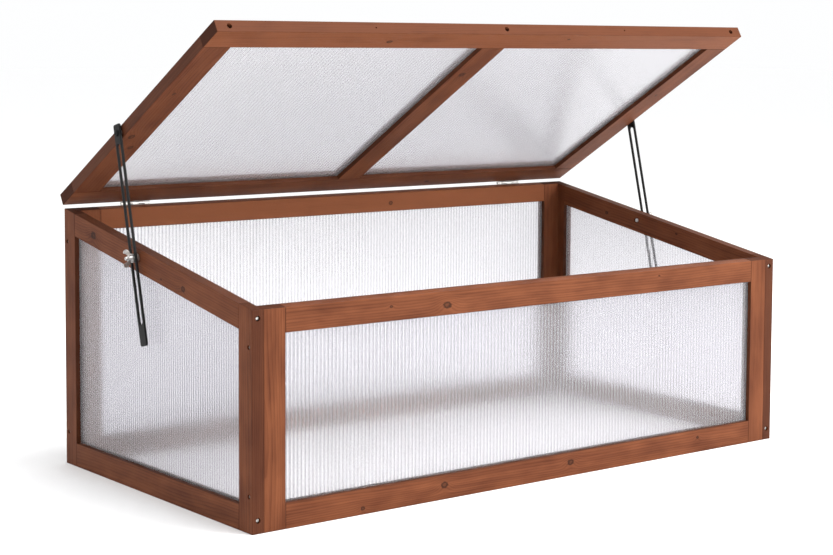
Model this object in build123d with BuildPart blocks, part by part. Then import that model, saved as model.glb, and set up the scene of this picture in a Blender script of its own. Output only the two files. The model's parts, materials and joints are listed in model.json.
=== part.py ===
from build123d import *

import os
from collections import namedtuple
from math import atan, atan2, cos, degrees, radians, sin, tan

# Cold frame: four timber-framed walls glazed with twin-wall sheet, and a hinged glazed lid on two
# stays. The origin is on the ground under the middle of the walls, +X to the right along the width,
# +Y towards the hinged back and +Z up. Lengths are in millimetres, angles in degrees.

os.makedirs("parts", exist_ok=True)

# Walls
width = 1000.0
depth = 540.0
front_height = 300.0
back_height = 394.0
board = 18.0  # thickness of every rail and stile
batten = 34.0  # face width of the walls' stiles and top rails
bottom_batten = 36.0  # face width of the walls' bottom rails
arris = 0.7  # radius on the edges and ends of every timber

# Twin-wall sheets, held in grooves
sheet = 4.0  # outside thickness
skin = 0.4  # each of the two walls of a sheet
rib = 0.4
rib_pitch = 6.2  # nominal; each sheet is divided into a whole number of channels
sheet_bite = 7.0  # how far a sheet enters its groove
groove_gap = 1.0  # left free beyond the sheet's edge
groove_clearance = 0.2  # each side of the sheet's thickness

# Lid
lid_overhang = 2.0  # past each side wall
lid_shortening = 10.0  # of the lid along its slope, against the depth of the walls
lid_length = depth - lid_shortening
lid_board = 18.0
lid_batten = 43.0  # face width of the lid's rails, stiles and centre bar
lid_gap = 3.0  # between the shut lid and the walls' top
lid_open = 40.0  # angle from closed, as modelled

# Butt hinges, one leaf on the walls' back and one on the lid's back edge
hinge_length = 50.0
hinge_from_end = 122.0  # middle of a hinge, from the end of the walls
leaf_thickness = 1.2
leaf_width = 17.0  # from the pin's axis
knuckle_radius = 2.6
knuckle_count = 5
knuckle_gap = 0.25
knuckle_clearance = 0.4  # from a barrel to the wood and to the other leaf
pin_radius = 1.25
pin_running_clearance = 0.05
pin_overhang = 0.6
hinge_screw_spread = 30.0  # between the two screws of a leaf
hinge_screw_drop = 10.0  # from the pin's axis

# Slotted stays
stay_width = 18.0
stay_thickness = 3.5
stay_corner = 3.5
stay_edge = 1.1
stay_beyond_pivot = 13.5
stay_reach = 310.0  # from the pivot to the lower end
slot_width = 9.6
slot_start = 15.5  # from the pivot
slot_end_bar = 31.0  # solid length at the lower end
stay_stand_off = 2.0  # from the lid's edge to the stay
pivot_from_back = 220.0  # along the lid, from its back edge

# Clamp bolts, each with a spacer, a washer and a wing nut
bolt_radius = 2.5
bolt_from_back = 235.0  # along the sloping rail, from the back edge
bolt_drop = 14.0  # below the rail's top edge
bolt_head_radius = 3.4
bolt_head_height = 2.4
bolt_recess_radius = 5.4
bolt_recess_depth = 2.5
bolt_hole_clearance = 0.1
bolt_tip = 4.0  # past the wing nut's boss
spacer_radius = 7.0
washer_radius = 6.5
washer_thickness = 1.0
stack_gap = 0.2  # between neighbours in the clamp, so that they turn and slide
nut_running_clearance = 0.05
ring_running_clearance = 0.1
boss_radius = 5.0
boss_top_radius = 4.0
boss_height = 6.5
wing_span = 25.0
wing_height = 13.0
wing_thickness = 2.2
wing_root = 3.2  # where a wing leaves the boss, from the axis
wing_foot_height = 1.0  # of a wing's lower edge above the washer, where it leaves the boss
wing_heel_reach = 1.5  # past the boss, where the lower edge starts to rise
wing_heel_height = 1.6
wing_top_width = 4.5  # of a wing's flat top
wing_side_bulge = 0.5
wing_side_straight = 1.5  # below the top, where the side bulges out least
wing_neck_reach = 0.8  # past the boss's top, where the upper edge starts to rise
wing_neck_drop = 0.6  # below the boss's top
wing_edge = 0.5

# Screws: sizes are head radius and height, shank radius, length under the head, and the counterbore
Screw = namedtuple("Screw", "head_radius head_height shank_radius length bore_radius bore_depth")
frame_screw = Screw(3.2, 2.4, 1.9, 50.0, 3.7, 4.0)
corner_screw = Screw(2.8, 2.2, 1.9, 32.0, 3.1, 3.5)
lid_screw = Screw(3.4, 2.4, 2.0, 60.0, 3.9, 8.0)
leaf_screw = Screw(2.8, leaf_thickness, 1.5, 13.0, 2.8, 0.0)
pivot_screw = Screw(4.5, 2.6, 2.0, 0.0, 0.0, 0.0)
pin_head_radius = 1.3
pin_head_height = 0.8
sheet_pin_radius = 0.8
sheet_pin_depth = 4.0  # into the sheet's edge
sheet_pin_sink = 3.0  # head below the wood
tip_length = 5.0
dome_share = 0.6  # of a pan head's radius, where its top is still nearly flat
dome_height_share = 0.88  # of a pan head's height, there
rim_share = 0.45  # of a pan head's height, at its edge
pivot_round_share = 0.45  # of the pivot screw's head height
bolt_round_share = 0.5  # of the clamp bolt's head height
bolt_tip_share = 0.3  # of the clamp bolt's radius
recess_share = 0.55  # of a screw head's height
recess_span_share = 1.2  # of a screw head's radius
recess_bar = 0.9
corner_screw_height = 50.0  # from the ground and from the top

# The walls' top is one sloping plane, and the shut lid lies parallel to it
slope = degrees(atan2(back_height - front_height, depth))
slope_plane = Plane(
    origin=(0, depth / 2, back_height),
    x_dir=(1, 0, 0),
    z_dir=(0, -sin(radians(slope)), cos(radians(slope))),
)
rise = radians(lid_open - slope)
pin_back = knuckle_radius + knuckle_clearance  # pin's axis behind the walls and the shut lid
hinge_y = depth / 2 + pin_back
hinge_z = back_height + pin_back * tan(radians(slope)) + lid_gap / 2 / cos(radians(slope))
hinge_axis = Vector(0, hinge_y, hinge_z)  # halfway up the gap under the shut lid
lid_up = Vector(0, sin(rise), cos(rise))
lid_back = Vector(0, cos(rise), -sin(rise))
lid_plane = Plane(
    origin=hinge_axis - lid_back * pin_back + lid_up * (lid_gap / 2),
    x_dir=(1, 0, 0),
    z_dir=lid_up,
)  # on the lid's underside at the middle of its back edge, local y to the back
lid_width = width + 2 * lid_overhang
lid_opening_width = (lid_width - 3 * lid_batten) / 2
lid_opening_middle = (lid_opening_width + lid_batten) / 2

stay_inner = lid_width / 2 + stay_stand_off
stay_outer = stay_inner + stay_thickness
washer_inner = stay_outer + stack_gap
nut_inner = washer_inner + washer_thickness + stack_gap
wall_inner_width = width - 2 * board

channel_wall_height = sheet - 2 * skin


def top_at(y):
    """Height of the walls' sloping top at a distance y from the middle."""
    return back_height + (y - depth / 2) * (back_height - front_height) / depth


def under_top(y, distance):
    """Height of a line parallel to the sloping top and a distance below it."""
    return top_at(y) - distance / cos(radians(slope))


def save(piece, name):
    piece.part.label = name
    export_step(piece.part, f"parts/{name}.step")


# Screws and their holes -----------------------------------------------------------------------


def along(plane):
    """The plane through a screw's axis, with local y along the axis and out of the head."""
    return Plane(origin=plane.origin, x_dir=plane.x_dir, z_dir=plane.x_dir.cross(plane.z_dir))


def seat(plane, screw):
    """Where the underside of a screw's head rests, for a hole drilled from this surface."""
    return plane.offset(-screw.bore_depth)


def drill(planes, screw):
    """Counterbored holes from each surface plane, cut from whatever the current piece has there."""
    for plane in planes:
        with Locations(plane):
            CounterBoreHole(
                radius=screw.shank_radius,
                counter_bore_radius=screw.bore_radius,
                counter_bore_depth=screw.bore_depth,
                depth=screw.bore_depth + screw.length,
            )


def cut_cross(plane, screw):
    """The cross recess in a screw's head, whose outer face is on this plane."""
    deep = screw.head_height * recess_share
    long = screw.head_radius * recess_span_share
    with BuildSketch(plane.offset(-deep)) as cross:
        Rectangle(long, recess_bar)
        Rectangle(recess_bar, long)
    extrude(cross.sketch, amount=2 * deep, mode=Mode.SUBTRACT)


def raised_screw(plane, screw):
    """A pan-head screw whose head rests on this plane."""
    edge = screw.head_height * rim_share
    with BuildSketch(along(plane)) as half:
        with BuildLine():
            ThreePointArc(
                (0, screw.head_height),
                (screw.head_radius * dome_share, screw.head_height * dome_height_share),
                (screw.head_radius, edge),
            )
            Polyline(
                (screw.head_radius, edge),
                (screw.head_radius, 0),
                (screw.shank_radius, 0),
                (screw.shank_radius, tip_length - screw.length),
                (0, -screw.length),
                (0, screw.head_height),
            )
        make_face()
    revolve(half.sketch, axis=Axis(plane.origin, plane.z_dir))
    cut_cross(plane.offset(screw.head_height), screw)


def flush_screw(plane, screw):
    """A countersunk screw whose head ends level with this plane."""
    with BuildSketch(along(plane)) as half:
        with BuildLine():
            Polyline(
                (0, 0),
                (screw.head_radius, 0),
                (screw.shank_radius, -screw.head_height),
                (screw.shank_radius, tip_length - screw.length),
                (0, -screw.length),
                close=True,
            )
        make_face()
    revolve(half.sketch, axis=Axis(plane.origin, plane.z_dir))
    cut_cross(plane, screw)


def save_screws(planes, screw, name):
    with BuildPart() as screws:
        for plane in planes:
            raised_screw(seat(plane, screw), screw)
    save(screws, name)


# Twin-wall sheets -----------------------------------------------------------------------------


def sheet_section(plane, wide):
    """A sheet's cross-section, skins top and bottom, with a whole number of channels between its ribs."""
    count = round((wide - rib) / rib_pitch)
    pitch = (wide - rib) / count
    with BuildSketch(plane) as section:
        Rectangle(wide, sheet)
        with GridLocations(pitch, 0, count, 1):
            Rectangle(pitch - rib, channel_wall_height, mode=Mode.SUBTRACT)
    return section.sketch


# Side walls -----------------------------------------------------------------------------------


def side_opening(grow):
    """Corners of a side wall's opening, as (y, z), grown outwards into the timber."""
    margin = batten - grow
    front = margin - depth / 2
    back = depth / 2 - margin
    return [
        (front, bottom_batten - grow),
        (back, bottom_batten - grow),
        (back, under_top(back, margin)),
        (front, under_top(front, margin)),
    ]


def side_middle(side):
    """The middle of a side wall's thickness; side is -1 on the left and 1 on the right."""
    return side * (width - board) / 2


def cut_side_groove(side):
    with BuildSketch(Plane.YZ.offset(side_middle(side))) as groove:
        with BuildLine():
            Polyline(*side_opening(sheet_bite + groove_gap), close=True)
        make_face()
    extrude(groove.sketch, amount=sheet / 2 + groove_clearance, both=True, mode=Mode.SUBTRACT)


def side_screw_planes(side):
    """Screws through the edge of each side stile into the rails' ends, top and bottom."""
    planes = []
    for end in (-1, 1):
        shoulder = end * (depth / 2 - batten)
        for height in (bottom_batten / 2, under_top(shoulder, batten / 2)):
            origin = (side_middle(side), end * depth / 2, height)
            planes.append(Plane(origin=origin, x_dir=(1, 0, 0), z_dir=(0, end, 0)))
    return planes


def corner_screw_planes(side, end):
    """Screws through a side stile's face into the edge of the front or back wall's stile."""
    planes = []
    for height in (corner_screw_height, top_at(end * depth / 2) - corner_screw_height):
        origin = (side * width / 2, end * (depth - board) / 2, height)
        planes.append(Plane(origin=origin, x_dir=(0, 1, 0), z_dir=(side, 0, 0)))
    return planes


def bolt_plane(side, out):
    """Plane square to a clamp bolt's axis, out from the middle of the width, facing outwards."""
    foot = slope_plane.from_local_coords(Vector(0, -bolt_from_back, -bolt_drop))
    return Plane(origin=(side * out, foot.Y, foot.Z), x_dir=(0, 1, 0), z_dir=(side, 0, 0))


def side_stile(side, end):
    with BuildPart() as stile:
        with BuildSketch():
            with Locations((side_middle(side), end * (depth - batten) / 2)):
                Rectangle(board, batten)
        extrude(amount=back_height)
        split(bisect_by=slope_plane, keep=Keep.BOTTOM)
        fillet(stile.edges(), radius=arris)
        cut_side_groove(side)
        drill(side_screw_planes(side), frame_screw)
        drill(corner_screw_planes(side, end), corner_screw)
    return stile


def side_bottom_rail(side):
    with BuildPart() as rail:
        with BuildSketch():
            with Locations((side_middle(side), 0)):
                Rectangle(board, depth - 2 * batten)
        extrude(amount=bottom_batten)
        fillet(rail.edges(), radius=arris)
        cut_side_groove(side)
        drill(side_screw_planes(side), frame_screw)
    return rail


def side_top_rail(side):
    """The sloping rail, with the clamp bolt's hole and the recess for its head on the inside."""
    with BuildPart() as rail:
        with BuildSketch():
            with Locations((side_middle(side), 0)):
                Rectangle(board, depth - 2 * batten)
        extrude(amount=back_height)
        split(bisect_by=slope_plane, keep=Keep.BOTTOM)
        split(bisect_by=slope_plane.offset(-batten), keep=Keep.TOP)
        fillet(rail.edges(), radius=arris)
        cut_side_groove(side)
        drill(side_screw_planes(side), frame_screw)
        with BuildSketch(bolt_plane(side, width / 2 - board)):
            Circle(bolt_recess_radius)
        extrude(amount=bolt_recess_depth, mode=Mode.SUBTRACT)
        with BuildSketch(bolt_plane(side, width / 2 - board)):
            Circle(bolt_radius + bolt_hole_clearance)
        extrude(amount=board, mode=Mode.SUBTRACT)
    return rail


def side_sheet(side):
    """Glazing with upright ribs, cut to the slope at its top."""
    margin = batten - sheet_bite
    foot = bottom_batten - sheet_bite
    across = Plane(origin=(side_middle(side), 0, foot), x_dir=(0, 1, 0), z_dir=(0, 0, 1))
    with BuildPart() as glazing:
        extrude(sheet_section(across, depth - 2 * margin), amount=back_height - foot)
        split(bisect_by=slope_plane.offset(-margin), keep=Keep.BOTTOM)
    return glazing


# Front and back walls -------------------------------------------------------------------------


def end_middle(end):
    """The middle of the front or back wall's thickness; end is -1 at the front, 1 at the back."""
    return end * (depth - board) / 2


def end_height(end):
    return top_at(end * depth / 2)


def cut_end_groove(end):
    grow = sheet_bite + groove_gap
    bottom = bottom_batten - grow
    top = end_height(end) - batten + grow
    with BuildSketch(Plane.XZ.offset(-end_middle(end))) as groove:
        with Locations((0, (bottom + top) / 2)):
            Rectangle(wall_inner_width - 2 * (batten - grow), top - bottom)
    extrude(groove.sketch, amount=sheet / 2 + groove_clearance, both=True, mode=Mode.SUBTRACT)


def end_screw_planes(end):
    """Screws through the outer edge of the front or back wall's stiles into its rails."""
    planes = []
    for side in (-1, 1):
        for height in (bottom_batten / 2, end_height(end) - batten / 2):
            origin = (side * wall_inner_width / 2, end_middle(end), height)
            planes.append(Plane(origin=origin, x_dir=(0, 1, 0), z_dir=(side, 0, 0)))
    return planes


def end_stile(end, side):
    with BuildPart() as stile:
        with BuildSketch():
            with Locations((side * (wall_inner_width - batten) / 2, end_middle(end))):
                Rectangle(batten, board)
        extrude(amount=back_height)
        split(bisect_by=slope_plane, keep=Keep.BOTTOM)
        fillet(stile.edges(), radius=arris)
        cut_end_groove(end)
        drill(end_screw_planes(end), frame_screw)
        drill(corner_screw_planes(side, end), corner_screw)
    return stile


def end_bottom_rail(end):
    with BuildPart() as rail:
        with BuildSketch():
            with Locations((0, end_middle(end))):
                Rectangle(wall_inner_width - 2 * batten, board)
        extrude(amount=bottom_batten)
        fillet(rail.edges(), radius=arris)
        cut_end_groove(end)
        drill(end_screw_planes(end), frame_screw)
    return rail


def end_top_rail(end):
    """A rail whose top is planed to the walls' slope, so that the lid lies down on it."""
    with BuildPart() as rail:
        with BuildSketch(Plane.XY.offset(end_height(end) - batten)):
            with Locations((0, end_middle(end))):
                Rectangle(wall_inner_width - 2 * batten, board)
        extrude(amount=2 * batten)
        split(bisect_by=slope_plane, keep=Keep.BOTTOM)
        fillet(rail.edges(), radius=arris)
        cut_end_groove(end)
        drill(end_screw_planes(end), frame_screw)
        if end > 0:
            drill_leaves(wall_leaf_plane)
    return rail


def end_sheet(end):
    margin = batten - sheet_bite
    foot = bottom_batten - sheet_bite
    across = Plane(origin=(0, end_middle(end), foot), x_dir=(1, 0, 0), z_dir=(0, 0, 1))
    with BuildPart() as glazing:
        section = sheet_section(across, wall_inner_width - 2 * margin)
        extrude(section, amount=end_height(end) - margin - foot)
    return glazing


# Lid ------------------------------------------------------------------------------------------


def cut_lid_grooves():
    grow = 2 * (sheet_bite + groove_gap)
    with BuildSketch(lid_plane.offset(lid_board / 2)) as grooves:
        for side in (-1, 1):
            with Locations((side * lid_opening_middle, -lid_length / 2)):
                Rectangle(lid_opening_width + grow, lid_length - 2 * lid_batten + grow)
    extrude(grooves.sketch, amount=sheet / 2 + groove_clearance, both=True, mode=Mode.SUBTRACT)


def lid_edge_plane(x, end):
    """Plane on the lid's front or back edge, halfway through its thickness, facing outwards."""
    back = 0 if end > 0 else -lid_length
    origin = lid_plane.from_local_coords(Vector(x, back, lid_board / 2))
    return Plane(origin=origin, x_dir=(1, 0, 0), z_dir=lid_back * end)


def lid_screw_planes():
    """Screws through the lid's front and back rails into its stiles and centre bar."""
    reach = (lid_width - lid_batten) / 2
    return [lid_edge_plane(x, end) for end in (-1, 1) for x in (-reach, 0, reach)]


def sheet_pin_planes():
    """Pins through the lid's front rail that keep its sheets from sliding out."""
    return [lid_edge_plane(side * lid_opening_middle, -1) for side in (-1, 1)]


def drill_sheet_pins():
    for plane in sheet_pin_planes():
        with Locations(plane):
            CounterBoreHole(
                radius=sheet_pin_radius,
                counter_bore_radius=pin_head_radius,
                counter_bore_depth=sheet_pin_sink + pin_head_height,
                depth=lid_batten - sheet_bite + sheet_pin_depth,
            )


def lid_outline(middle_x, middle_y, wide, long):
    """The rectangle of one of the lid's timbers, seen square to the lid."""
    with BuildSketch(lid_plane) as face:
        with Locations((middle_x, middle_y)):
            Rectangle(wide, long)
    return face.sketch


def joint_lid_timber():
    """Grooves and screw holes in whichever of the lid's timbers is being made."""
    cut_lid_grooves()
    drill(lid_screw_planes(), lid_screw)


def lid_front_rail():
    with BuildPart() as rail:
        extrude(lid_outline(0, lid_batten / 2 - lid_length, lid_width, lid_batten), amount=lid_board)
        fillet(rail.edges(), radius=arris)
        joint_lid_timber()
        drill_sheet_pins()
    return rail


def lid_rear_rail():
    with BuildPart() as rail:
        extrude(lid_outline(0, -lid_batten / 2, lid_width, lid_batten), amount=lid_board)
        fillet(rail.edges(), radius=arris)
        joint_lid_timber()
        drill_leaves(lid_leaf_plane)
    return rail


def lid_upright(middle_x):
    """A side stile or the centre bar, between the lid's two rails."""
    long = lid_length - 2 * lid_batten
    with BuildPart() as upright:
        extrude(lid_outline(middle_x, -lid_length / 2, lid_batten, long), amount=lid_board)
        fillet(upright.edges(), radius=arris)
        joint_lid_timber()
    return upright


def lid_sheet(side):
    """Lid glazing, with its ribs running down the slope so that the channels drain."""
    front = lid_batten - sheet_bite - lid_length
    start = lid_plane.from_local_coords(
        Vector(side * lid_opening_middle, front, lid_board / 2)
    )
    across = Plane(origin=start, x_dir=(1, 0, 0), z_dir=lid_back)
    with BuildPart() as glazing:
        section = sheet_section(across, lid_opening_width + 2 * sheet_bite)
        extrude(section, amount=lid_length - 2 * (lid_batten - sheet_bite))
        drill_sheet_pins()
    return glazing


def save_sheet_pins():
    length = lid_batten - sheet_bite + sheet_pin_depth - sheet_pin_sink - pin_head_height
    with BuildPart() as pins:
        for plane in sheet_pin_planes():
            with BuildSketch(plane.offset(-sheet_pin_sink - pin_head_height)):
                Circle(pin_head_radius)
            extrude(amount=pin_head_height)
            with BuildSketch(plane.offset(-sheet_pin_sink - pin_head_height)):
                Circle(sheet_pin_radius)
            extrude(amount=-length)
    save(pins, "lid_sheet_pins")


# Hinges ---------------------------------------------------------------------------------------

# Each leaf lies on a plane that faces backwards at the height of the pin, local y towards the pin
wall_leaf_plane = Plane(origin=(0, depth / 2, hinge_z), x_dir=(-1, 0, 0), z_dir=(0, 1, 0))
lid_leaf_plane = Plane(origin=hinge_axis - lid_back * pin_back, x_dir=(1, 0, 0), z_dir=lid_back)
hinge_middles = (hinge_from_end - width / 2, width / 2 - hinge_from_end)


def leaf_screw_points(middle):
    half = hinge_screw_spread / 2
    return [(middle - half, -hinge_screw_drop), (middle + half, -hinge_screw_drop)]


def drill_leaves(plane):
    """Pilot holes under both hinges' leaves, in the timber whose surface is this plane."""
    for middle in hinge_middles:
        with Locations(plane):
            with Locations(*leaf_screw_points(middle)):
                Hole(leaf_screw.shank_radius, depth=leaf_screw.length - leaf_thickness)


def barrel(plane, middle, first, radius, mode=Mode.ADD, whole=False):
    """Cylinders round the pin's axis at every other knuckle, or along the whole hinge."""
    pitch = hinge_length / knuckle_count
    starts = [0] if whole else range(first, knuckle_count, 2)
    long = hinge_length if whole else pitch
    for index in starts:
        begin = middle - hinge_length / 2 + index * pitch
        origin = plane.from_local_coords(Vector(begin, 0, pin_back))
        gap = 0 if whole else knuckle_gap / 2
        with BuildSketch(Plane(origin=origin, z_dir=plane.x_dir).offset(gap)) as disc:
            Circle(radius)
        extrude(disc.sketch, amount=long - 2 * gap, mode=mode)


def hinge_leaf(plane, middle, first, bore):
    """A leaf lying on the plane, with tabs out to its own knuckles; first is its first knuckle."""
    pitch = hinge_length / knuckle_count
    plate_edge = knuckle_radius + knuckle_clearance / 2
    with BuildPart() as leaf:
        with BuildSketch(plane):
            with Locations((middle, -(plate_edge + leaf_width) / 2)):
                Rectangle(hinge_length, leaf_width - plate_edge)
            for index in range(first, knuckle_count, 2):
                x = middle - hinge_length / 2 + (index + 0.5) * pitch
                with Locations((x, -plate_edge / 2)):
                    Rectangle(pitch - knuckle_gap, plate_edge)
        extrude(amount=leaf_thickness)
        barrel(plane, middle, first, knuckle_radius)
        barrel(plane, middle, first, bore, mode=Mode.SUBTRACT, whole=True)
        flare = leaf_screw.head_radius - leaf_screw.shank_radius
        with Locations(plane.offset(leaf_thickness)):
            with Locations(*leaf_screw_points(middle)):
                CounterSinkHole(
                    radius=leaf_screw.shank_radius,
                    counter_sink_radius=leaf_screw.head_radius,
                    depth=leaf_thickness,
                    counter_sink_angle=2 * degrees(atan(flare / leaf_screw.head_height)),
                )
    return leaf


def hinge_pin(middle):
    start = hinge_axis + Vector(middle - hinge_length / 2 - pin_overhang, 0, 0)
    with BuildPart() as pin:
        with BuildSketch(Plane(origin=start, z_dir=(1, 0, 0))):
            Circle(pin_radius)
        extrude(amount=hinge_length + 2 * pin_overhang)
        chamfer(pin.edges().filter_by(GeomType.CIRCLE), length=pin_overhang / 2)
    return pin


def save_leaf_screws(plane, name):
    with BuildPart() as screws:
        for middle in hinge_middles:
            for x, y in leaf_screw_points(middle):
                origin = plane.from_local_coords(Vector(x, y, leaf_thickness))
                flush_screw(Plane(origin=origin, x_dir=plane.x_dir, z_dir=plane.z_dir), leaf_screw)
    save(screws, name)


# Stays and clamps -----------------------------------------------------------------------------


def stay_plane(side, out):
    """Plane facing outwards at the stay's pivot on the lid, local x down along the stay."""
    pivot = lid_plane.from_local_coords(Vector(0, -pivot_from_back, lid_board / 2))
    bolt = bolt_plane(side, out).origin
    origin = Vector(side * out, pivot.Y, pivot.Z)
    return Plane(origin=origin, x_dir=bolt - origin, z_dir=(side, 0, 0))


def stay(side):
    """A flat bar with one long slot between solid ends."""
    whole = stay_beyond_pivot + stay_reach
    slot_end = stay_reach - slot_end_bar
    with BuildPart() as bar:
        with BuildSketch(stay_plane(side, stay_inner)):
            with Locations(((stay_reach - stay_beyond_pivot) / 2, 0)):
                RectangleRounded(whole, stay_width, stay_corner)
            with Locations(((slot_end + slot_start) / 2, 0)):
                SlotOverall(slot_end - slot_start, slot_width, mode=Mode.SUBTRACT)
        extrude(amount=stay_thickness)
        faces = bar.faces().sort_by(Axis.X)
        fillet(faces[0].edges() + faces[-1].edges(), radius=stay_edge)
        with BuildSketch(stay_plane(side, stay_inner)):
            Circle(pivot_screw.shank_radius)
        extrude(amount=stay_thickness, mode=Mode.SUBTRACT)
    return bar


def pivot_washer(side):
    """Thin washer on the pivot screw, between the stay and the lid."""
    thick = stay_stand_off - 2 * stack_gap
    with BuildPart() as washer:
        with BuildSketch(stay_plane(side, stay_inner - thick)):
            Circle(washer_radius)
            Circle(pivot_screw.shank_radius, mode=Mode.SUBTRACT)
        extrude(amount=thick)
    return washer


def stay_pivot_screw(side):
    """The screw that the stay hangs on; it ends flush with its washer, just clear of the lid."""
    plane = stay_plane(side, stay_outer)
    with BuildPart() as screw:
        with BuildSketch(plane):
            Circle(pivot_screw.head_radius)
        extrude(amount=pivot_screw.head_height)
        rim = screw.edges().filter_by(GeomType.CIRCLE).group_by(Axis.X)[0 if side < 0 else -1]
        fillet(rim, radius=pivot_screw.head_height * pivot_round_share)
        with BuildSketch(plane):
            Circle(pivot_screw.shank_radius)
        extrude(amount=2 * stack_gap - stay_stand_off - stay_thickness)
        cut_cross(plane.offset(pivot_screw.head_height), pivot_screw)
    return screw


def clamp_bolt(side):
    """Pan-head bolt from the inside of the sloping rail out through the stay's slot."""
    seat_out = width / 2 - board + bolt_recess_depth
    tip_out = nut_inner + boss_height + bolt_tip
    with BuildPart() as bolt:
        with BuildSketch(bolt_plane(side, seat_out)):
            Circle(bolt_head_radius)
        extrude(amount=-bolt_head_height)
        inner = bolt.edges().filter_by(GeomType.CIRCLE).group_by(Axis.X)[-1 if side < 0 else 0]
        fillet(inner, radius=bolt_head_height * bolt_round_share)
        with BuildSketch(bolt_plane(side, seat_out)):
            Circle(bolt_radius)
        extrude(amount=tip_out - seat_out)
        end = bolt.edges().filter_by(GeomType.CIRCLE).group_by(Axis.X)[0 if side < 0 else -1]
        chamfer(end, length=bolt_radius * bolt_tip_share)
    return bolt


def clamp_ring(side, inner, thick, radius):
    """A spacer or a washer that turns or slides on the bolt."""
    with BuildPart() as ring:
        with BuildSketch(bolt_plane(side, inner)):
            Circle(radius)
            Circle(bolt_radius + ring_running_clearance, mode=Mode.SUBTRACT)
        extrude(amount=thick)
    return ring


def wing_nut(side):
    """A tapered boss with two upright wings that flare away from the wall."""
    base = bolt_plane(side, nut_inner)
    half = wing_span / 2
    wing_plane = Plane(origin=base.origin, x_dir=(0, 0, 1), z_dir=(0, side, 0))
    with BuildPart() as nut:
        with BuildSketch(base):
            Circle(boss_radius)
        with BuildSketch(base.offset(boss_height)):
            Circle(boss_top_radius)
        loft()
        with BuildSketch(wing_plane):
            with BuildLine():
                Polyline(
                    (wing_root, wing_foot_height),
                    (boss_radius + wing_heel_reach, wing_heel_height),
                    (half, boss_height),
                )
                ThreePointArc(
                    (half, boss_height),
                    (half - wing_side_bulge, wing_height - wing_side_straight),
                    (half - wing_top_width, wing_height),
                )
                Polyline(
                    (half - wing_top_width, wing_height),
                    (boss_top_radius + wing_neck_reach, boss_height - wing_neck_drop),
                    (wing_root, boss_height - wing_neck_drop),
                    (wing_root, wing_foot_height),
                )
            make_face()
            mirror(about=Plane.YZ)
        extrude(amount=wing_thickness / 2, both=True)
        tips = nut.edges().filter_by(Axis.Y).group_by(Axis.Z)
        fillet(tips[0] + tips[-1], radius=wing_edge)
        with BuildSketch(base):
            Circle(bolt_radius + nut_running_clearance)
        extrude(amount=boss_height, mode=Mode.SUBTRACT)
    return nut


# The assembly ---------------------------------------------------------------------------------

sides = {"left": -1, "right": 1}
ends = {"front": -1, "rear": 1}

for side_name, side in sides.items():
    for end_name, end in ends.items():
        save(side_stile(side, end), f"{side_name}_{end_name}_stile")
        save(end_stile(end, side), f"{end_name}_{side_name}_stile")
    save(side_bottom_rail(side), f"{side_name}_bottom_rail")
    save(side_top_rail(side), f"{side_name}_top_rail")
    save(side_sheet(side), f"{side_name}_sheet")
    save_screws(side_screw_planes(side), frame_screw, f"{side_name}_frame_screws")

for end_name, end in ends.items():
    save(end_bottom_rail(end), f"{end_name}_bottom_rail")
    save(end_top_rail(end), f"{end_name}_top_rail")
    save(end_sheet(end), f"{end_name}_sheet")
    save_screws(end_screw_planes(end), frame_screw, f"{end_name}_frame_screws")

corner_planes = [
    plane for side in sides.values() for end in ends.values() for plane in corner_screw_planes(side, end)
]
save_screws(corner_planes, corner_screw, "corner_screws")

save(lid_front_rail(), "lid_front_rail")
save(lid_rear_rail(), "lid_rear_rail")
save(lid_upright(0), "lid_centre_bar")
for side_name, side in sides.items():
    save(lid_upright(side * (lid_width - lid_batten) / 2), f"lid_{side_name}_stile")
    save(lid_sheet(side), f"lid_{side_name}_sheet")
save_screws(lid_screw_planes(), lid_screw, "lid_frame_screws")
save_sheet_pins()

for side_name, middle in zip(sides, hinge_middles):
    save(hinge_leaf(wall_leaf_plane, -middle, 0, pin_radius), f"{side_name}_hinge_wall_leaf")
    save(
        hinge_leaf(lid_leaf_plane, middle, 1, pin_radius + pin_running_clearance),
        f"{side_name}_hinge_lid_leaf",
    )
    save(hinge_pin(middle), f"{side_name}_hinge_pin")
save_leaf_screws(wall_leaf_plane, "hinge_wall_screws")
save_leaf_screws(lid_leaf_plane, "hinge_lid_screws")

for side_name, side in sides.items():
    spacer_inner = width / 2 + stack_gap
    spacer_thickness = stay_inner - stack_gap - spacer_inner
    save(clamp_bolt(side), f"{side_name}_clamp_bolt")
    save(clamp_ring(side, spacer_inner, spacer_thickness, spacer_radius), f"{side_name}_stay_spacer")
    save(stay(side), f"{side_name}_stay")
    save(stay_pivot_screw(side), f"{side_name}_stay_pivot_screw")
    save(pivot_washer(side), f"{side_name}_stay_pivot_washer")
    save(clamp_ring(side, washer_inner, washer_thickness, washer_radius), f"{side_name}_clamp_washer")
    save(wing_nut(side), f"{side_name}_wing_nut")
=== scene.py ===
# %% [markdown]
# # A cold frame in stained softwood and twin-wall sheet
#
# This file gives a finished cold frame its looks. The frame has four timber walls, a hinged lid,
# six sheets of twin-wall plastic and a black slotted stay on each side. Its shapes come from a
# design model, one Blender object for each timber, sheet and screw, already in the right place.
#
# The steps are the ones a product studio would take: look at what has arrived, set up the
# camera, the floor and the lamps, and then work on one finish at a time. Lengths are in metres
# unless a comment says millimetres, +X runs to the right along the front, +Y to the hinged back
# and +Z up.

# %% Load the model
import json
import math
import random

import bpy
from mathutils import Matrix, Vector


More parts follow.
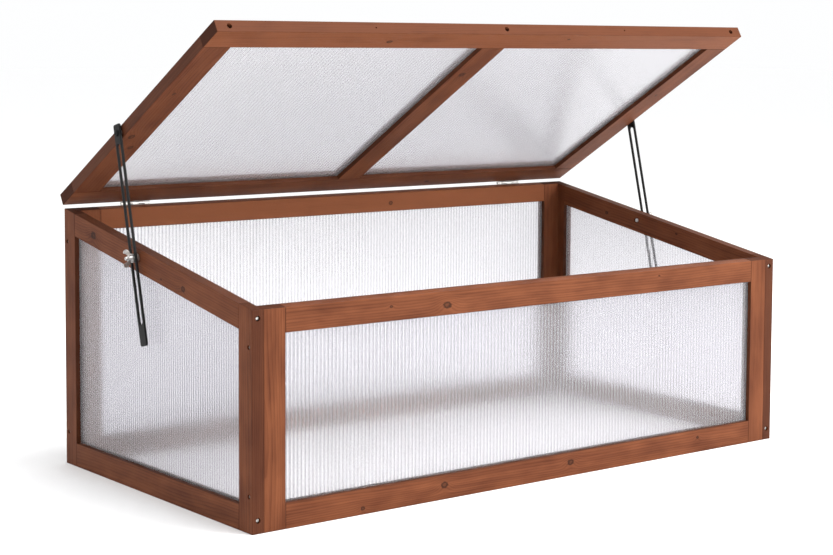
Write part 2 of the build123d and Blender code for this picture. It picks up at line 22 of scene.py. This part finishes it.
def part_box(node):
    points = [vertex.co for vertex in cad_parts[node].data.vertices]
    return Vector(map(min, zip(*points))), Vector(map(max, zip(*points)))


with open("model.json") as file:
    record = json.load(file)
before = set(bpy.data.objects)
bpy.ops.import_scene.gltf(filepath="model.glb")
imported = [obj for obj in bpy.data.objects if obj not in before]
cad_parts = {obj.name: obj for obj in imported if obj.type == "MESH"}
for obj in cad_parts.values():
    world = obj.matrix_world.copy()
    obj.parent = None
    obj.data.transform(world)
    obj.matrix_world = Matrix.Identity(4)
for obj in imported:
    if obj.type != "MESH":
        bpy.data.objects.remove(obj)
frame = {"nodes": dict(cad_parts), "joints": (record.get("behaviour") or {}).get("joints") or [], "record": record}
nodes = frame["nodes"]
joints = {joint["name"]: joint for joint in frame["joints"]}
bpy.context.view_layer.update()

# %% [markdown]
# ## The camera
#
# A camera has a place, a direction and a lens. This one stands off the front left corner, as high
# as the top of the open lid, and looks gently down. Being nearly level keeps the upright timbers
# upright in the picture, and the lens is shifted, as an architect's camera is, to bring the whole
# object into view without tipping the camera further.

# %% Camera
camera_place = Vector((-1.806, -2.387, 0.662))
camera_heading = math.radians(39.74)  # from straight ahead towards the right
camera_dip = math.radians(4.34)
camera_roll = math.radians(0.52)
picture_width_on_film = 36.0
lens_length = 81.8
sideways_shift = -0.1235  # shares of the picture's width
upward_shift = -0.117

camera_data = bpy.data.cameras.new("camera")
camera_data.sensor_width = picture_width_on_film
camera_data.lens = lens_length
camera_data.shift_x = sideways_shift
camera_data.shift_y = upward_shift
camera_data.clip_end = 200.0
camera = bpy.data.objects.new("camera", camera_data)
camera.matrix_world = (
    Matrix.Translation(camera_place)
    @ Matrix.Rotation(-camera_heading, 4, "Z")
    @ Matrix.Rotation(math.pi / 2 - camera_dip, 4, "X")
    @ Matrix.Rotation(camera_roll, 4, "Z")
)
bpy.context.scene.collection.objects.link(camera)
bpy.context.scene.camera = camera
print("camera at", list(camera_place))

# %% [markdown]
# ## Writing shaders as sums
#
# A procedural finish is arithmetic on positions. Wiring Math nodes by hand hides that, so a small
# class wraps a node's output and turns Python's operators into Math nodes: `a * 2 + b` adds two
# nodes and joins them up. Every other kind of node comes from one method of `Finish`, which takes
# the node's type, its settings and what goes into its sockets.

# %% A signal


class Signal:
    """A number that changes over a surface: an output socket with Python's operators."""

    def __init__(self, finish, socket):
        self.finish = finish
        self.socket = socket

    def math(self, operation, *others):
        values = {i: value for i, value in enumerate((self, *others))}
        return self.finish.node("ShaderNodeMath", {"operation": operation}, values)

    def __add__(self, other):
        return self.math("ADD", other)

    def __radd__(self, other):
        return self.math("ADD", other)

    def __sub__(self, other):
        return self.math("SUBTRACT", other)

    def __rsub__(self, other):
        return self.finish.node("ShaderNodeMath", {"operation": "SUBTRACT"}, {0: other, 1: self})

    def __mul__(self, other):
        return self.math("MULTIPLY", other)

    def __rmul__(self, other):
        return self.math("MULTIPLY", other)

    def __truediv__(self, other):
        return self.math("DIVIDE", other)

    def __pow__(self, other):
        return self.math("POWER", other)

    def __abs__(self):
        return self.math("ABSOLUTE")

    def fract(self):
        return self.math("FRACT")

    def root(self):
        return self.math("SQRT")

    def bell(self):
        """Close to 1 near zero and falling smoothly to nothing by about 2."""
        values = {0: self * self * -1.0}
        return self.finish.node("ShaderNodeMath", {"operation": "EXPONENT"}, values)

    def between(self, low, high):
        """0 at low, 1 at high and smooth from one to the other; low may be above high."""
        return self.finish.node(
            "ShaderNodeMapRange",
            {"interpolation_type": "SMOOTHSTEP"},
            {"Value": self, "From Min": low, "From Max": high},
        )


# %% A finish


class Finish:
    """A material that is being made, with one method that adds any node to it."""

    def __init__(self, name):
        self.material = bpy.data.materials.new(name)
        self.material.use_nodes = True
        self.tree = self.material.node_tree
        self.tree.nodes.clear()

    def node(self, kind, settings=None, values=None, output=0):
        new = self.tree.nodes.new(kind)
        for name, setting in (settings or {}).items():
            setattr(new, name, setting)
        for key, value in (values or {}).items():
            if isinstance(value, Signal):
                self.tree.links.new(value.socket, new.inputs[key])
            else:
                new.inputs[key].default_value = value
        return Signal(self, new.outputs[output]) if new.outputs else None

    def blend(self, factor, first, second):
        """One colour turning into another, which a Math node would turn grey."""
        settings = {"data_type": "RGBA", "clamp_factor": True}
        return self.node("ShaderNodeMix", settings, {0: factor, 6: first, 7: second}, 2)

    def bump(self, height, distance, strength=1.0):
        values = {"Height": height, "Distance": distance, "Strength": strength}
        return self.node("ShaderNodeBump", None, values)

    def noise(self, place, scale, detail=2.0, roughness=0.5):
        values = {"Vector": place, "Scale": scale, "Detail": detail, "Roughness": roughness}
        return self.node("ShaderNodeTexNoise", None, values)

    def principled(self, **values):
        named = {name.replace("_", " "): value for name, value in values.items()}
        return self.node("ShaderNodeBsdfPrincipled", None, named)

    def done(self, surface):
        self.node("ShaderNodeOutputMaterial", None, {"Surface": surface})
        return self.material


def paint(node, material):
    for slot in nodes[node].material_slots:
        slot.material = material


def rgb(red, green, blue):
    return (red, green, blue, 1.0)


# %% [markdown]
# ## Floor and light
#
# The object stands in a bright white studio. The floor is one large pale sheet, and the sky
# around it is nearly the same white, so that the horizon doesn't show. The floor could be left
# to the lamps alone, but a little light of its own, as a light table has, keeps the shadows pale.
# A large soft lamp at the front right makes the front the bright side, and a second one high up
# picks out the top edges of the rails and the front edge of the open lid.

# %% Floor
floor_half_width = 30.0
floor_colour = rgb(0.90, 0.90, 0.90)
floor_glow = 0.10
floor_grains = 400.0  # in a metre
floor_grain_height = 0.0002

floor_mesh = bpy.data.meshes.new("studio_floor")
signs = ((-1, -1), (1, -1), (1, 1), (-1, 1))
corners = [(x * floor_half_width, y * floor_half_width, 0) for x, y in signs]
floor_mesh.from_pydata(corners, [], [(0, 1, 2, 3)])
floor = bpy.data.objects.new("studio_floor", floor_mesh)
bpy.context.scene.collection.objects.link(floor)

floor_finish = Finish("studio_white")
floor_place = floor_finish.node("ShaderNodeTexCoord", None, None, "Object")
floor_shader = floor_finish.principled(
    Base_Color=floor_colour,
    Roughness=0.9,
    Emission_Color=floor_colour,
    Emission_Strength=floor_glow,
    Normal=floor_finish.bump(floor_finish.noise(floor_place, floor_grains), floor_grain_height),
)
floor_mesh.materials.append(floor_finish.done(floor_shader))
print("floor:", 2 * floor_half_width, "m square")

# %% Sky
sky_strength = 1.0
scene = bpy.context.scene
scene.world = bpy.data.worlds.new("studio_sky")
scene.world.use_nodes = True
sky = scene.world.node_tree.nodes["Background"]
sky.inputs["Color"].default_value = rgb(0.99, 0.995, 1.0)
sky.inputs["Strength"].default_value = sky_strength
print("sky strength:", sky_strength)

# %% Lamps
object_middle = (0, 0, 0.3)
key_power = 175.0
top_power = 105.0


def lamp(name, place, aim, size, power, colour=(1, 1, 1)):
    """A square soft box at a place, turned to face a point."""
    data = bpy.data.lights.new(name, "AREA")
    data.shape = "SQUARE"
    data.size = size
    data.energy = power
    data.color = colour
    soft_box = bpy.data.objects.new(name, data)
    soft_box.location = place
    soft_box.rotation_euler = (Vector(aim) - Vector(place)).to_track_quat("-Z", "Y").to_euler()
    scene.collection.objects.link(soft_box)
    print(name, "lamp:", power, "watts")


lamp("key", (2.4, -3.6, 2.0), object_middle, 2.2, key_power, (1.0, 0.985, 0.96))
lamp("top", (0.4, -1.0, 3.2), object_middle, 2.0, top_power)

# %% [markdown]
# Light that reaches the inside has to get through a sheet, and each sheet is four surfaces. Left
# at its usual limits, Blender would stop following a ray halfway and paint the rest black, so the
# number of surfaces that a ray may pass is raised.

# %% How far light is followed
surfaces_passed = 20
scene.view_settings.view_transform = "Standard"
scene.cycles.use_denoising = True
scene.cycles.max_bounces = surfaces_passed
scene.cycles.transmission_bounces = surfaces_passed
scene.cycles.transparent_max_bounces = surfaces_passed
scene.cycles.diffuse_bounces = 4
scene.cycles.glossy_bounces = 6
scene.cycles.caustics_refractive = True
print("surfaces that light may pass:", surfaces_passed)

# %% [markdown]
# ## Stained fir
#
# The timber is planed fir with a reddish brown stain. Real boards are slices of a tree, and the
# most convincing way to draw one is to keep the tree: growth rings are cylinders round a pith
# line that runs beside the board, so each face shows the rings where it cuts them, the sides
# match the faces, and the ends show arcs. An image wrapped round the board can't do that.
#
# Four things lie over the rings. Fine fibres run along the grain. The stain is uneven, because
# soft wood drinks more of it than hard. End grain drinks the most and is nearly black-brown.
# And a few knots push the rings aside and are dark themselves.

# %% The directions of a timber
rear_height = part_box("left_rear_stile")[1].z
wall_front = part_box("left_front_stile")[0].y
wall_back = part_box("left_rear_stile")[1].y
top_rail_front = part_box("left_top_rail")[0].y
front_stile_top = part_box("left_front_stile")[1].z
stile_width = top_rail_front - wall_front
slope = math.atan2(rear_height - front_stile_top, wall_back - wall_front - stile_width)
opened = math.radians(-joints["lid_hinge"]["range_deg"][0])
lid_rise = opened - slope
print("walls slope", round(math.degrees(slope), 2), "lid rises", round(math.degrees(lid_rise), 2))

RIGHT = Vector((1, 0, 0))
BACK = Vector((0, 1, 0))
UP = Vector((0, 0, 1))
UP_SLOPE = Vector((0, math.cos(slope), math.sin(slope)))
LID_BACK = Vector((0, math.cos(lid_rise), -math.sin(lid_rise)))
LID_UP = Vector((0, math.sin(lid_rise), math.cos(lid_rise)))


def middle_of(node):
    low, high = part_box(node)
    return (low + high) / 2


# %% [markdown]
# ## Measuring from a piece's own middle
#
# Every finish below depends on where a point lies in its piece: how far along the grain, or how
# far from a rib. The coordinates could come from an unwrapped image, but a solid timber needs
# them inside its volume too, so that a face and an end show the same tree. So a position in space
# is taken from the piece's middle and measured along the piece's own directions, in millimetres,
# which are easier to think in than metres for something this size.

# %% Measuring helpers
millimetres = 1000


def half_size(node, direction):
    """Half a piece's length in millimetres in one of its own directions."""
    middle = middle_of(node)
    corners = nodes[node].data.vertices
    return millimetres * max(abs((corner.co - middle).dot(direction)) for corner in corners)


class PieceFinish(Finish):
    """A finish that measures places from the middle of its own piece."""

    def __init__(self, name, node):
        super().__init__(name + "_" + node)
        place = self.node("ShaderNodeTexCoord", None, None, "Object")
        settings = {"operation": "SUBTRACT"}
        self.place = self.node("ShaderNodeVectorMath", settings, {0: place, 1: middle_of(node)})

    def dot(self, vector, direction):
        settings = {"operation": "DOT_PRODUCT"}
        return self.node("ShaderNodeVectorMath", settings, {0: vector, 1: direction}, 1)

    def along(self, direction):
        return self.dot(self.place, direction * millimetres)

    def facing(self, direction):
        """1 where the surface faces a direction or away from it, 0 where it runs along it."""
        normal = self.node("ShaderNodeTexCoord", None, None, "Normal")
        return abs(self.dot(normal, direction))


print("front stile, half length:", round(half_size("front_left_stile", UP), 1), "mm")

# %% [markdown]
# ## A board cut from a tree
#
# In a board u runs along the grain, v across the face and w through the thickness. A noise that
# is stretched along u and squeezed across it gives fibres. Each board has its own number for its
# place in the tree, drawn from a seeded dice, so that no two boards match and every run is alike.

# %% Board
seam_shade_width = 1.3  # millimetres in from each edge where shade is painted, standing for the shade in the joints
side_seam_shade = 0.7  # as a share of the painted shade along an end
end_grain_facing = (0.75, 0.98)  # how squarely a surface crosses the grain to show its end


class Board(PieceFinish):
    """A finish for one timber, with its grain in the direction along."""

    def __init__(self, node, along, thickness, seed):
        super().__init__("stained_fir", node)
        across = thickness.cross(along)
        self.u = self.along(along)
        self.v = self.along(across)
        self.w = self.along(thickness)
        self.half_length = half_size(node, along)
        self.half_width = half_size(node, across)
        self.end_grain = self.facing(along).between(*end_grain_facing)
        self.chance = random.Random(seed)
        self.place_in_tree = self.chance.uniform(10, 90)

    def stretched(self, length, width, shift=0.0):
        """A place in a grain that is this many millimetres long and wide."""
        start = self.place_in_tree + shift
        u = self.u / length + start
        v = self.v / width + start
        w = self.w / width - start
        return self.node("ShaderNodeCombineXYZ", None, {0: u, 1: v, 2: w})

    def seam(self):
        """Painted shade: a dark line along the ends and a fainter one along the sides, standing for the shade in
        the joints between boards.
        """
        end = abs(self.u).between(self.half_length - seam_shade_width, self.half_length)
        side = abs(self.v).between(self.half_width - seam_shade_width, self.half_width)
        return end.math("MAXIMUM", side * side_seam_shade)


# %% [markdown]
# ## Knots
#
# A knot is a branch cut across: a dark rim round a paler heart, a little longer along the grain
# than across it. It is given by its u, its v and its radius in millimetres. The tree grew round
# it, so the rings are pushed aside as well, which makes a knot look grown in and not stuck on.

# %% Knots
knot_squash = 0.72  # a knot's width as a share of its length
knot_heart_paleness = 0.5
knot_push = 1.5  # how far the rings move, in knot radii
knot_reach = 2.2  # how far out they still move, in knot radii


def knot_marks(board, knots):
    """How dark each knot is, and how far it pushes the rings, as two lists."""
    marks = []
    pushes = []
    for u, v, radius in knots:
        away = (((board.u - u) * knot_squash) ** 2.0 + (board.v - v) ** 2.0).root()
        ragged = away + (board.noise(board.stretched(6, 4), 1.0) - 0.5) * radius
        heart = ragged.between(radius * 0.7, radius * 0.2)
        rim = ragged.between(radius * 1.15, radius * 0.7)
        marks.append(rim * (1 - heart * knot_heart_paleness))
        pushes.append((away / (radius * knot_reach)).bell() * (radius * knot_push))
    return marks, pushes


# %% [markdown]
# ## Growth rings
#
# The pith of the tree lies a few centimetres outside the board. The distance from it, divided by
# the width of a ring, counts the rings, and the part after the point says where in a ring a place
# is. The colour deepens slowly through a year's growth and ends sharply at the next.

# %% Rings
pith_angles = (0.15, 1.2)  # radians from the board's width
pith_distances = (38, 75)  # millimetres from the board's middle
tapers = (-0.012, 0.012)  # how fast a ring grows along the board
ring_widths = (2.3, 3.4)  # millimetres
ring_wander = 9  # millimetres between the widest drifts off a true circle


def late_wood(board, pushes):
    """0 in the pale early wood of a ring and 1 in the dark late wood at its end."""
    lean = board.chance.uniform(*pith_angles)
    pith_away = board.chance.uniform(*pith_distances)
    pith_v = pith_away * math.cos(lean) * board.chance.choice((-1, 1))
    pith_w = -pith_away * math.sin(lean)
    taper = board.chance.uniform(*tapers)
    ring_width = board.chance.uniform(*ring_widths)
    wander = (board.noise(board.stretched(260, 60), 1.0, 1.0) - 0.5) * ring_wander
    radius = ((board.v - pith_v) ** 2.0 + (board.w - pith_w) ** 2.0).root()
    radius = radius + board.u * taper + wander
    for push in pushes:
        radius = radius + push
    unevenness = board.noise(board.stretched(90, 12, 7), 1.0) * 0.5
    ring = (radius / ring_width + unevenness).fract()
    return ring.between(0.35, 0.93) * ring.between(1.0, 0.965)


# %% [markdown]
# ## The stain
#
# One brown over all the wood would look like paint. A stain soaks in, so its depth is a sum: a
# depth that all boards share, less the painted light or shade given to each board, and then more
# or less of it in late wood, fibres, long streaks and wide clouds. The sum blends a pale stain into
# a deep one. Pores and end grain take the darkest stain, and the seams take the same dark colour as
# painted shade, standing for the shade in the joints between boards. The finish is matt, so only a
# little light is reflected from its surface.

# %% The stained fir finish
pale_stain = rgb(0.186, 0.060, 0.0245)
deep_stain = rgb(0.066, 0.0168, 0.0067)
# The darkest stain, on pores and end grain, is also the colour of the painted shade in the seams.
end_stain_and_seam_shade = rgb(0.040, 0.012, 0.006)
knot_brown = rgb(0.018, 0.007, 0.004)
stain_depth = 0.40
ring_depth = 0.24
fibre_depth = 0.60
streak_depth = 0.75
cloud_depth = 1.1
pore_share = 0.45  # how far pores, ends, knots and the painted shade in the seams go to the darkest colours
end_share = 0.75
knot_share = 0.85
seam_shade_share = 0.8
grain_height = 0.00035  # metres
wood_gloss = 0.08


def stained_fir(node, along, thickness, seed, knots, light):
    """Softwood with its grain in one direction; light is painted light or shade, a paler board above 0 and a
    darker one below, for how the board is lit.
    """
    board = Board(node, along, thickness, seed)
    marks, pushes = knot_marks(board, knots)
    late = late_wood(board, pushes)
    fibre = board.noise(board.stretched(26, 0.32), 1.0, 3.0, 0.6)
    streak = board.noise(board.stretched(150, 5, 3), 1.0, 3.0, 0.55)
    cloud = board.noise(board.stretched(70, 30, 5), 1.0, 2.0)
    layers = late * ring_depth + (fibre - 0.5) * fibre_depth + (streak - 0.5) * streak_depth
    # Taking light off the depth is painted light or shade: the whole board turns paler or darker to stand for how
    # it is lit.
    depth = layers + (cloud - 0.5) * cloud_depth + (stain_depth - light)

    colour = board.blend(depth, pale_stain, deep_stain)
    colour = board.blend(fibre.between(0.66, 0.80) * pore_share, colour, end_stain_and_seam_shade)
    colour = board.blend(board.end_grain * end_share, colour, end_stain_and_seam_shade)
    for mark in marks:
        colour = board.blend(mark * knot_share, colour, knot_brown)
    # Painted shade: the seams are darkened to stand for the shade in the joints between boards.
    colour = board.blend(board.seam() * seam_shade_share, colour, end_stain_and_seam_shade)

    relief = fibre * 0.6 - late * 0.25 + streak * 0.4
    shader = board.principled(
        Base_Color=colour,
        Roughness=0.46 + fibre * 0.16 + board.end_grain * 0.2,
        Normal=board.bump(relief, grain_height, 0.7),
        Specular_IOR_Level=wood_gloss,
    )
    return board.done(shader)


# %% [markdown]
# ## Staining the walls and the lid
#
# Each timber gets a finish of its own, because each runs in its own direction and has its own
# knots. Some also get painted light or shade: the whole board is made paler or darker for how it
# is lit. The side rails slope with the walls, and the lid's timbers lie in the open lid.

# %% The walls' stiles and side bottom rails
timbers = []


# light is painted light or shade: above 0 a whole board is painted paler as if better lit, below 0 darker as if in
# shade.
def stain(node, along, thickness, knots=(), light=0.0):
    timbers.append(node)
    paint(node, stained_fir(node, along, thickness, len(timbers), knots, light))


for side in ("left", "right"):
    for end in ("front", "rear"):
        # The side stiles get painted shade, and the front and rear stiles get painted light.
        stain(f"{side}_{end}_stile", UP, RIGHT, light=-0.12)
        stain(f"{end}_{side}_stile", UP, BACK, light=0.04)
    stain(f"{side}_bottom_rail", BACK, RIGHT)
print("timbers stained:", len(timbers))

# %% The walls' other rails
front_top_knots = ((-177, 4, 5.5), (-275, -2, 2.0), (240, -7, 1.5))
front_bottom_knots = ((-180, -3, 5.0), (-322, 9, 2.8), (60, -3, 4.5), (330, -6, 2.4))

stain("left_top_rail", UP_SLOPE, RIGHT, ((178, 0, 6.0), (-92, -5, 4.2), (-30, -9, 1.6)))
stain("right_top_rail", UP_SLOPE, RIGHT, ((120, -3, 3.0), (-60, 5, 2.0)))
# The front top rail gets a little painted light.
stain("front_top_rail", RIGHT, BACK, front_top_knots, light=0.05)
stain("front_bottom_rail", RIGHT, BACK, front_bottom_knots)
# The rear top rail, whose inner face is in shade, is made much paler as painted light.
stain("rear_top_rail", RIGHT, BACK, ((100, 3, 3.4),), light=0.65)
stain("rear_bottom_rail", RIGHT, BACK, ((-210, 2, 3.2),))
print("timbers stained:", len(timbers))

# %% The lid's timbers
# The lid's front rail, which faces up into the light, is made paler as painted light.
stain("lid_front_rail", RIGHT, LID_UP, ((-205, 3, 4.0), (130, -8, 2.4)), light=0.45)
stain("lid_rear_rail", RIGHT, LID_UP, ((180, 4, 3.6),))
stain("lid_left_stile", LID_BACK, LID_UP, ((40, 8, 5.0), (75, -6, 4.0), (-90, 2, 2.6)))
stain("lid_right_stile", LID_BACK, LID_UP, ((-60, 3, 2.4),))
stain("lid_centre_bar", LID_BACK, LID_UP, ((-140, 5, 5.0),))
print("timbers stained:", len(timbers))

# %% [markdown]
# ## Twin-wall sheet
#
# The glazing is extruded plastic: two thin skins joined by fine ribs, with air between. The
# design model has those channels as real hollows, so the finish only has to say what the
# plastic does. It is clear, but its skins are drawn a little wavy, which blurs what is behind
# them, and it holds a faint milkiness that catches the light. So most of the light passes
# through with a rough surface, and the rest is scattered.
#
# Where a rib is welded to a skin the plastic is thicker, and a line shows on the outside. The
# design model divides each sheet into whole channels, and the same sum here finds its ribs again.
# The lid's sheets look clearer than the walls', because they are seen against the light, and this
# is painted in: the lid gets a clearer tint and paler lines at the ribs, as painted light, though it
# is the same plastic. A low refractive index stands for skins that are too thin to bend light as a
# solid block would.

# %% The lines at the ribs
channel = 6.2  # millimetres from rib to rib, before a sheet is divided into whole channels
rib_thickness = 0.4
skin_depth = 0.3  # from the outer face, less than a skin's thickness
weld_reach = (1.7, 0.5)  # millimetres from a rib where its line starts and is full


def weld_line(finish, node, across, outwards):
    """1 on the outer faces over each rib; the ribs follow each other in the direction across."""
    wide = 2 * half_size(node, across)
    channels = round((wide - rib_thickness) / channel)
    pitch = (wide - rib_thickness) / channels
    from_first_rib = finish.along(across) + (wide - rib_thickness) / 2
    from_rib = abs((from_first_rib / pitch + 0.5).fract() - 0.5) * pitch
    skin_start = half_size(node, outwards) - skin_depth
    outer_face = abs(finish.along(outwards)).between(skin_start, skin_start + skin_depth / 2)
    print(node, "channels:", channels)
    return from_rib.between(*weld_reach) * outer_face


# %% The twin-wall finish
wall_clarity = 0.955
# The lid's clearer tint is painted light; its plastic is the same as the walls'.
lid_clarity_with_painted_light = 0.995
rib_tint = rgb(0.86, 0.855, 0.875)
skin_roughness = 0.15
skin_waves = 14.0  # in a metre
skin_index = 1.15
skin_transmission = 0.93


def twin_wall(node, across, outwards, clarity, weld_shade):
    """Two clear skins, greyer ribs between them and a line over each rib."""
    finish = PieceFinish("twin_wall", node)
    skin_tint = rgb(clarity, clarity - 0.002, clarity + 0.006)
    weld_tint = rgb(weld_shade, weld_shade - 0.01, weld_shade + 0.03)
    colour = finish.blend(finish.facing(across).between(0.4, 0.9), skin_tint, rib_tint)
    colour = finish.blend(weld_line(finish, node, across, outwards), colour, weld_tint)
    shader = finish.principled(
        Base_Color=colour,
        Roughness=skin_roughness + finish.noise(finish.place, skin_waves) * 0.05,
        IOR=skin_index,
        Transmission_Weight=skin_transmission,
    )
    return finish.done(shader)


for sheet, across, outwards, clarity, weld_shade in (
    ("front_sheet", RIGHT, BACK, wall_clarity, 0.62),
    ("rear_sheet", RIGHT, BACK, wall_clarity, 0.64),
    ("left_sheet", BACK, RIGHT, wall_clarity, 0.70),
    ("right_sheet", BACK, RIGHT, wall_clarity, 0.68),
    # The lid's paler lines at the ribs are painted light.
    ("lid_left_sheet", RIGHT, LID_UP, lid_clarity_with_painted_light, 0.82),
    ("lid_right_sheet", RIGHT, LID_UP, lid_clarity_with_painted_light, 0.82),
):
    paint(sheet, twin_wall(sheet, across, outwards, clarity, weld_shade))

# %% [markdown]
# ## Zinc plate
#
# The screws, bolts, hinges, washers and wing nuts are steel with a thin zinc plating. It is a
# metal, so its colour is the colour of what it reflects, and it could be one smooth mirror. Real
# plating is cloudy: patches of it are a little darker and rougher than others. One noise gives
# both, and a much finer one gives the surface its grain.

# %% Zinc plate
dull_zinc = rgb(0.40, 0.39, 0.38)
bright_zinc = rgb(0.64, 0.63, 0.61)
zinc_patches = 260.0  # in a metre
zinc_grains = 1500.0  # in a metre
zinc_grain_height = 0.00005

zinc = Finish("zinc_plate")
zinc_place = zinc.node("ShaderNodeTexCoord", None, None, "Object")
zinc_cloud = zinc.noise(zinc_place, zinc_patches, 3.0)
zinc_shader = zinc.principled(
    Base_Color=zinc.blend(zinc_cloud.between(0.35, 0.7), dull_zinc, bright_zinc),
    Metallic=1.0,
    Roughness=0.24 + zinc_cloud * 0.2,
    Normal=zinc.bump(zinc.noise(zinc_place, zinc_grains), zinc_grain_height, 0.4),
)
zinc_material = zinc.done(zinc_shader)
print("made", zinc_material.name)

# %% [markdown]
# ## Black satin paint
#
# The stays and their pivot screws are steel in a thin black paint. Paint hides the metal, so this
# is no metal to the shader. A pure black would lose the bar's rounded edges, so the paint is very
# dark grey, and it reflects little, because it is nearly matt.

# %% Black satin paint
deep_black = rgb(0.006, 0.006, 0.0065)
dusty_black = rgb(0.014, 0.013, 0.013)
paint_patches = 120.0  # in a metre
paint_grains = 1400.0  # in a metre
paint_grain_height = 0.00006

black = Finish("black_satin_paint")
black_place = black.node("ShaderNodeTexCoord", None, None, "Object")
black_cloud = black.noise(black_place, paint_patches, 3.0)
black_shader = black.principled(
    Base_Color=black.blend(black_cloud, deep_black, dusty_black),
    Roughness=0.42 + black_cloud * 0.16,
    Specular_IOR_Level=0.12,
    Normal=black.bump(black.noise(black_place, paint_grains), paint_grain_height, 0.5),
)
black_material = black.done(black_shader)
print("made", black_material.name)

# %% [markdown]
# ## Which piece is made of what
#
# The frame's record says which material each piece is made of. Reading it there is safer than a
# list of names here, which would go stale as soon as a screw is added.

# %% Paint the metal pieces
metal_finishes = {"zinc_plated_steel": zinc_material, "black_steel": black_material}
metal_count = 0
for part in frame["record"]["subparts"]:
    if part["material_slot"] in metal_finishes:
        paint(part["node"], metal_finishes[part["material_slot"]])
        metal_count += 1
print("metal pieces:", metal_count)
